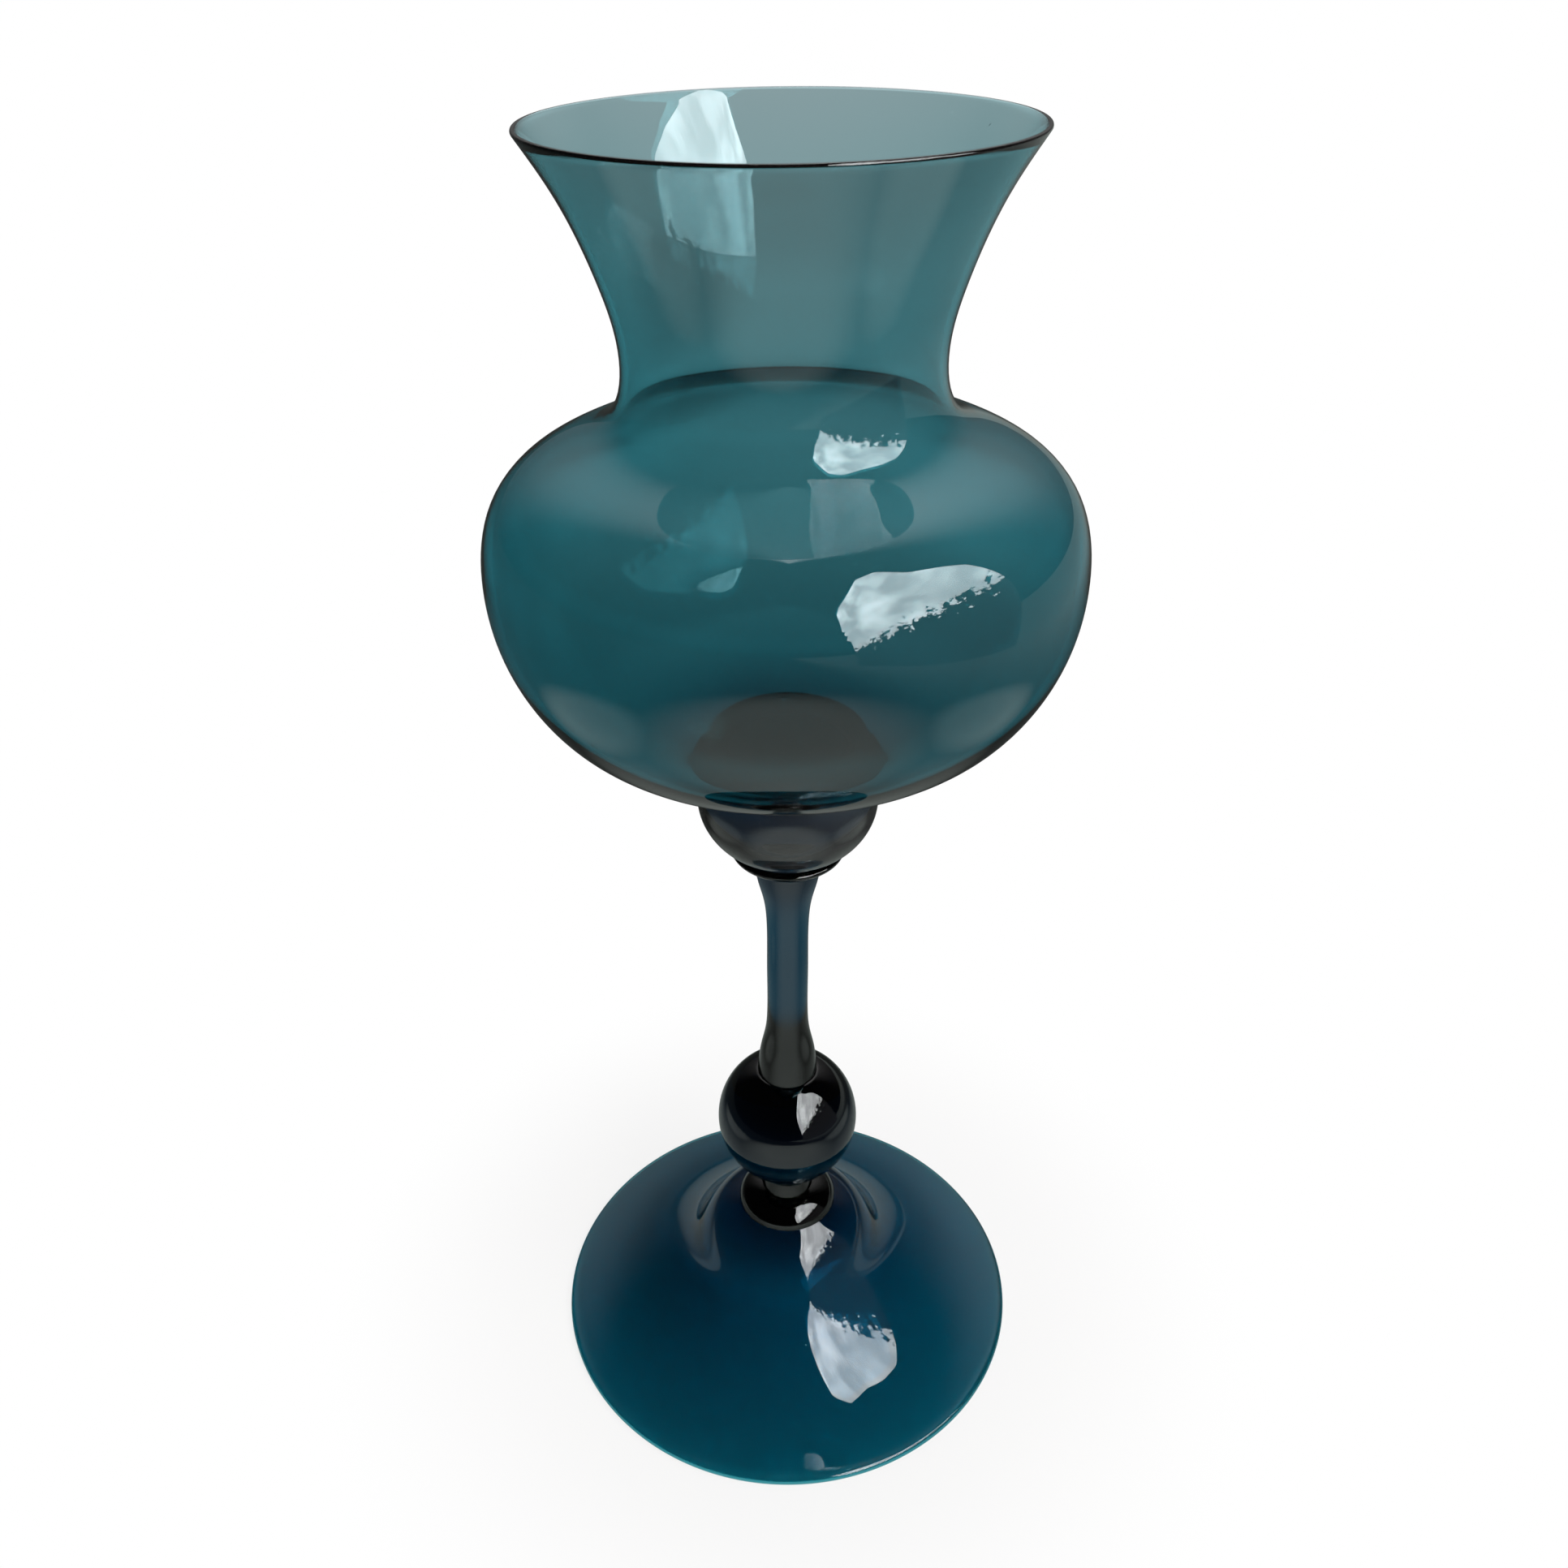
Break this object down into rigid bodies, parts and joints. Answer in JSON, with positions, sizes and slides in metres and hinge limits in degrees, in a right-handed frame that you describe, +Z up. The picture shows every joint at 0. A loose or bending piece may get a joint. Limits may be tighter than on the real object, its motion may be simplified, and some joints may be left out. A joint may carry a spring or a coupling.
{
  "type": "stemmed glass vase",
  "caption": "Smoky teal glass vase: a flared, waisted bowl on a solid knopped stem with a wide bell-shaped foot.",
  "frame": {"origin": "centre of the foot's underside, on the surface that the vase stands on", "axes": "+Z up along the vase's axis, from the foot to the mouth; X and Y are any two level directions"},
  "size_m": [0.1202, 0.1202, 0.3001],
  "materials": {
    "foot": "clear smoky teal soda-lime glass, fire-polished, thick enough to look deep teal",
    "foot_button": "solid smoky teal glass bead, tooled smooth and fire-polished",
    "ball_knop": "solid smoky teal glass, so deep that it looks nearly black",
    "stem": "solid drawn smoky teal glass, fire-polished",
    "merese": "solid smoky teal glass disc, pressed and fire-polished",
    "cup_knop": "solid smoky teal glass bulb, fire-polished",
    "bowl": "thin blown smoky teal glass with a few tiny seeds, fire-polished lip"
  },
  "bodies": {
    "root": {"foot": "foot", "foot_button": "foot_button", "ball_knop": "ball_knop", "stem": "stem", "merese": "merese", "cup_knop": "cup_knop", "bowl": "bowl"}
  },
  "joints": []
}
